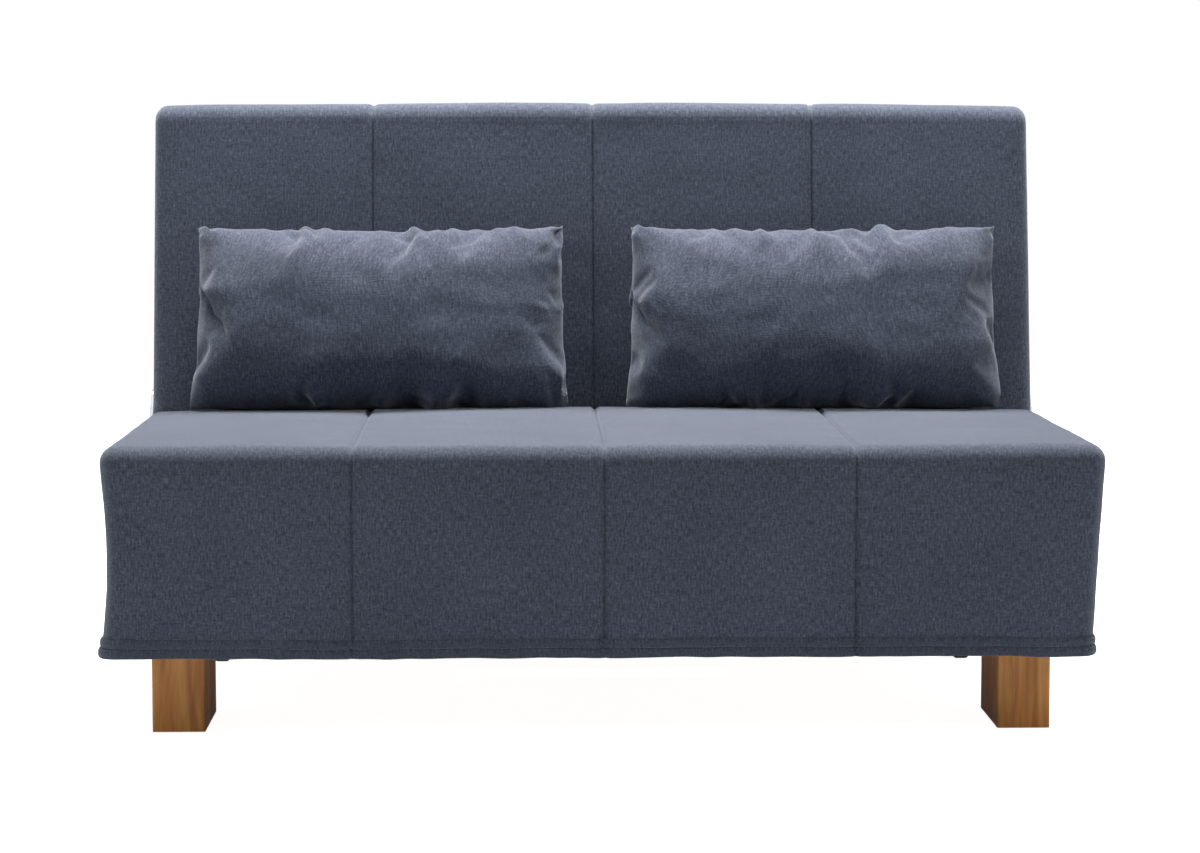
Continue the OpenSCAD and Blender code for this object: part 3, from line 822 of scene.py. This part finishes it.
def pillow(side, seed):
    """A lumbar pillow, blown up as cloth and fitted to where it leans and stands."""
    low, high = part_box(f"pillow_cover_{side}")
    mid_x, width = (low.x + high.x) / 2, high.x - low.x
    cut_w, cut_h = width * CUT_WIDER, PILLOW_H * CUT_TALLER
    co, uv, faces = pillow_form(84, 42, cut_w, cut_h, 0.030, 0.020)
    obj = new_piece(f"pillow_{side}_case", co, faces, uv, [MATERIALS["pillow_fabric"]])
    inflate(obj)
    points = np.array([v.co for v in obj.data.vertices], float)
    grid = np.array(uv) / [cut_w / 2, cut_h / 2]
    if side == "left":
        points[:, :2] *= -1
        grid = -grid
    # the sewn outline
    u, v = grid.T
    half = width / 2 - 0.007 - 0.005 * v - 0.006 * (1 - v**2)
    square_up(points, grid, -half, half, 0)
    top = PILLOW_H / 2 + 0.004 - 0.007 * (1 - u**2) + 0.003 * np.abs(u) ** 10
    square_up(points, grid, np.full(len(u), -PILLOW_H / 2 - 0.002), top, 1)
    # the filling, which lies low
    lows, highs = points.min(0), points.max(0)
    depth = np.where(points[:, 2] > 0, highs[2], -lows[2])
    full = np.sign(points[:, 2]) * np.abs(points[:, 2] / depth) ** 0.85
    belly = np.where(full > 0, BELLY_FRONT * (1 - 0.3 * v), BELLY_REAR)
    points[:, 2] = full * belly
    wrinkle = wobble(points * [1.0, 1.6, 1.0], 0.055, seed)
    shape = np.clip(full, 0, 1)
    points[:, 2] += 0.0022 * wrinkle * shape
    points[:, 2] += 0.0030 * wobble(points, 0.16, seed + 1) * shape
    # pressed flat against the back and on the seat
    points[:, 2] = press(points[:, 2], 0.0055 - PILLOW_OUT, 0.012)
    placed = on_front(points + [0, PILLOW_FOOT + PILLOW_H / 2, PILLOW_OUT])
    placed[:, 0] += mid_x
    placed[:, 2] = press(placed[:, 2], SEAT_H + 0.0005, 0.010)
    obj.data.vertices.foreach_set("co", placed.astype(np.float32).ravel())
    obj.data.update()
    smooth = obj.modifiers.new("round", "SUBSURF")
    smooth.levels = smooth.render_levels = 1
    apply_modifiers(obj)
    obj.data.polygons.foreach_set("use_smooth", [True] * len(obj.data.polygons))
    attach(obj, f"pillow_{side}")
    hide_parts(f"pillow_cover_{side}", f"pillow_fill_{side}")


# ---------------------------------------------------------------- build
slipcover = seat_cover()
seat_foam()
hem()
section_cushion(on_front, 31, "front_section")
section_cushion(on_rear, 41, "rear_section")
for side, seed in (("left", 51), ("right", 61)):
    pillow(side, seed)


# ---------------------------------------------------------------- stage
def stage_material(name, shade, glow):
    """A matt pale surface that also glows a little, as a lit studio sweep does."""
    material = bpy.data.materials.new(name)
    material.use_nodes = True
    shader = material.node_tree.nodes["Principled BSDF"]
    shader.inputs["Base Color"].default_value = (*shade, 1)
    shader.inputs["Roughness"].default_value = 0.9
    shader.inputs["Specular IOR Level"].default_value = 0.1
    shader.inputs["Emission Color"].default_value = (1, 1, 1, 1)
    shader.inputs["Emission Strength"].default_value = glow
    return material


RAYS = ("camera", "diffuse", "glossy", "transmission", "volume_scatter", "shadow")


def stage_piece(name, mesh, seen_by):
    """A part of the studio, seen only by some kinds of ray."""
    obj = bpy.data.objects.new(name, mesh)
    bpy.context.scene.collection.objects.link(obj)
    for ray in RAYS:
        setattr(obj, f"visible_{ray}", ray in seen_by)
    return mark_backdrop(obj)


def floor(name, half, z, material, seen_by):
    """A square floor at height z."""
    mesh = bpy.data.meshes.new(name)
    corners = [(-half, -half, z), (half, -half, z), (half, half, z), (-half, half, z)]
    mesh.from_pydata(corners, [], [(0, 1, 2, 3)])
    mesh.materials.append(material)
    return stage_piece(name, mesh, seen_by)


def backdrop(radius):
    """A white dome round the studio."""
    bm = bmesh.new()
    bmesh.ops.create_uvsphere(bm, u_segments=48, v_segments=24, radius=radius)
    mesh = bpy.data.meshes.new("backdrop")
    bm.to_mesh(mesh)
    bm.free()
    mesh.materials.append(stage_material("backdrop", (0, 0, 0), 1.0))
    return stage_piece("backdrop", mesh, ("camera",))


def area_light(name, place, target, size, power):
    """A white softbox at place, facing target; power is in watts."""
    light = bpy.data.lights.new(name, "AREA")
    light.shape = "RECTANGLE"
    light.size, light.size_y = size
    light.energy = power
    obj = bpy.data.objects.new(name, light)
    obj.location = place
    aim = Vector(target) - Vector(place)
    obj.rotation_euler = aim.to_track_quat("-Z", "Y").to_euler()
    bpy.context.scene.collection.objects.link(obj)


seen_floor = stage_material("floor", (0.80, 0.80, 0.80), 0.95)
floor("floor", 30, 0.0, seen_floor, ("camera",))
bounce_floor = stage_material("floor_bounce", (0.66, 0.66, 0.66), 0.0)
floor("floor_bounce", 6, -0.001, bounce_floor, ("diffuse",))
backdrop(40)
area_light("top_softbox", (0.0, 0.50, 3.2), (0.0, 0.40, 0.0), (3.2, 1.3), 325)
for name, side in (("left_softbox", -1), ("right_softbox", 1)):
    area_light(name, (3.2 * side, -1.9, 2.3), (0.0, 0.0, 0.4), (1.6, 1.6), 32)

world = bpy.data.worlds.new("studio")
bpy.context.scene.world = world
world.use_nodes = True
sky = world.node_tree.nodes["Background"]
sky.inputs["Color"].default_value = (0.86, 0.92, 1.0, 1)
sky.inputs["Strength"].default_value = 0.11

CAMERA_DISTANCE = 4.183
CAMERA_X, CAMERA_HEIGHT = -0.1157, 0.8374
CAMERA_LENS = 91.3
PITCH_DOWN, YAW_RIGHT = 5.335, 1.497
camera_data = bpy.data.cameras.new("camera")
camera_data.sensor_width = 36
camera_data.lens = CAMERA_LENS
camera = bpy.data.objects.new("camera", camera_data)
camera.location = (CAMERA_X, cad_box[0][1] - CAMERA_DISTANCE, CAMERA_HEIGHT)
camera.rotation_euler = (math.radians(90 - PITCH_DOWN), 0, math.radians(-YAW_RIGHT))
bpy.context.scene.collection.objects.link(camera)
bpy.context.scene.camera = camera
bpy.context.scene.view_settings.view_transform = "Standard"
